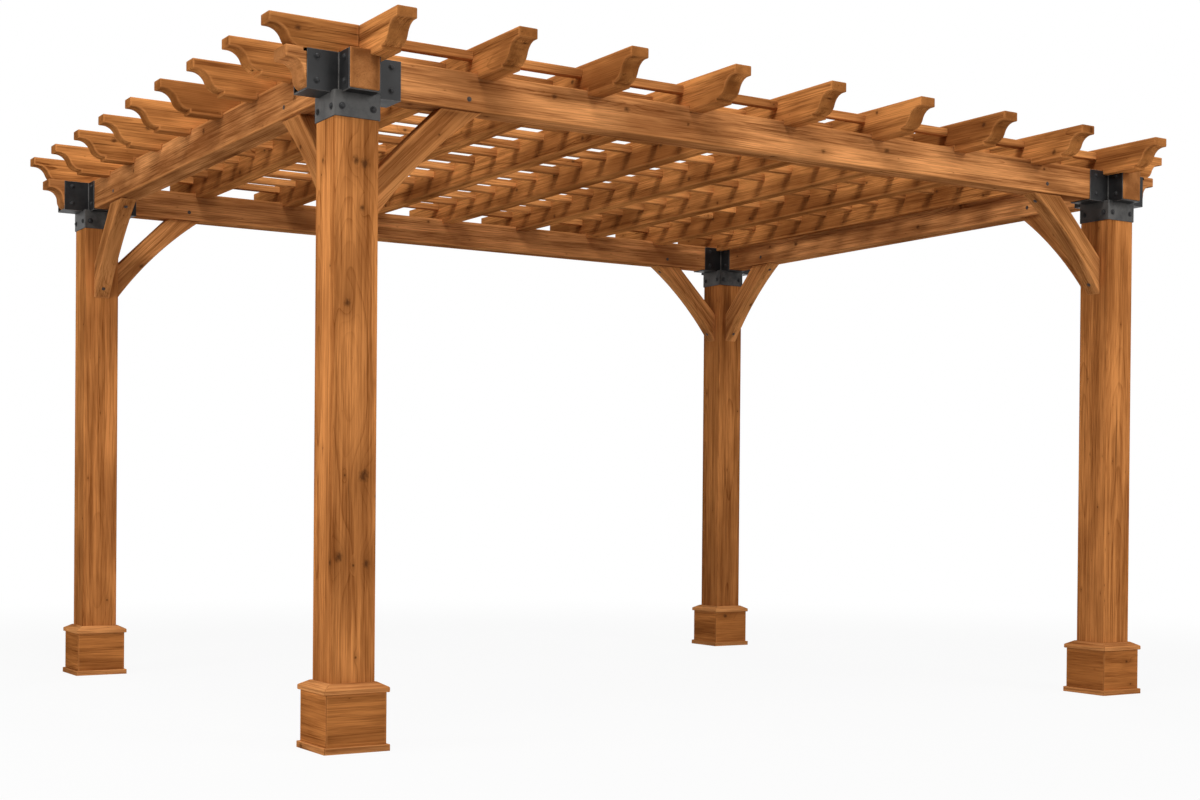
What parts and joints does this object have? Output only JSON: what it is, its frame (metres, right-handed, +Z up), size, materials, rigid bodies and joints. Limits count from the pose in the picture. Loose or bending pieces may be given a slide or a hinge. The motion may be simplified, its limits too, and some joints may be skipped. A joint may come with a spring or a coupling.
{
  "type": "wooden pergola",
  "caption": "Square timber pergola: posts with boxed bases, dark steel post caps, halved beams, curved knee braces and a slatted rafter roof with shaped ends.",
  "frame": {"origin": "on the ground, at the middle of the four posts", "axes": "+X to the right along the front, +Y to the back, +Z up"},
  "size_m": [4.05, 3.39, 2.286],
  "materials": {
    "cedar_post": "reddish-brown stained cedar, satin, grain upright",
    "cedar_base": "reddish-brown stained cedar, satin, grain level",
    "cedar_beam": "reddish-brown stained cedar, satin, grain lengthwise",
    "cedar_brace": "reddish-brown stained cedar, satin, grain lengthwise",
    "cedar_rafter": "reddish-brown stained cedar, satin, grain lengthwise",
    "cedar_slat": "reddish-brown stained cedar, satin, grain lengthwise",
    "black_steel": "dark grey powder coat, fine texture, low sheen"
  },
  "bodies": {
    "root": {"post_front_left": "cedar_post", "post_front_right": "cedar_post", "post_back_left": "cedar_post", "post_back_right": "cedar_post", "base_box_front_left": "cedar_base", "base_box_front_right": "cedar_base", "base_box_back_left": "cedar_base", "base_box_back_right": "cedar_base", "base_cap_front_left": "cedar_base", "base_cap_front_right": "cedar_base", "base_cap_back_left": "cedar_base", "base_cap_back_right": "cedar_base", "base_trims": "cedar_base", "steel_cap_front_left": "black_steel", "steel_cap_front_right": "black_steel", "steel_cap_back_left": "black_steel", "steel_cap_back_right": "black_steel", "beam_front": "cedar_beam", "beam_back": "cedar_beam", "beam_left": "cedar_beam", "beam_right": "cedar_beam", "brace_front_left": "cedar_brace", "brace_front_right": "cedar_brace", "brace_back_left": "cedar_brace", "brace_back_right": "cedar_brace", "brace_left_front": "cedar_brace", "brace_right_front": "cedar_brace", "brace_left_back": "cedar_brace", "brace_right_back": "cedar_brace", "rafter_1": "cedar_rafter", "rafter_2": "cedar_rafter", "rafter_3": "cedar_rafter", "rafter_4": "cedar_rafter", "rafter_5": "cedar_rafter", "rafter_6": "cedar_rafter", "rafter_7": "cedar_rafter", "rafter_8": "cedar_rafter", "rafter_9": "cedar_rafter", "tails_left": "cedar_rafter", "tails_right": "cedar_rafter", "slats_1": "cedar_slat", "slats_2": "cedar_slat", "slats_3": "cedar_slat", "slats_4": "cedar_slat"}
  },
  "joints": []
}
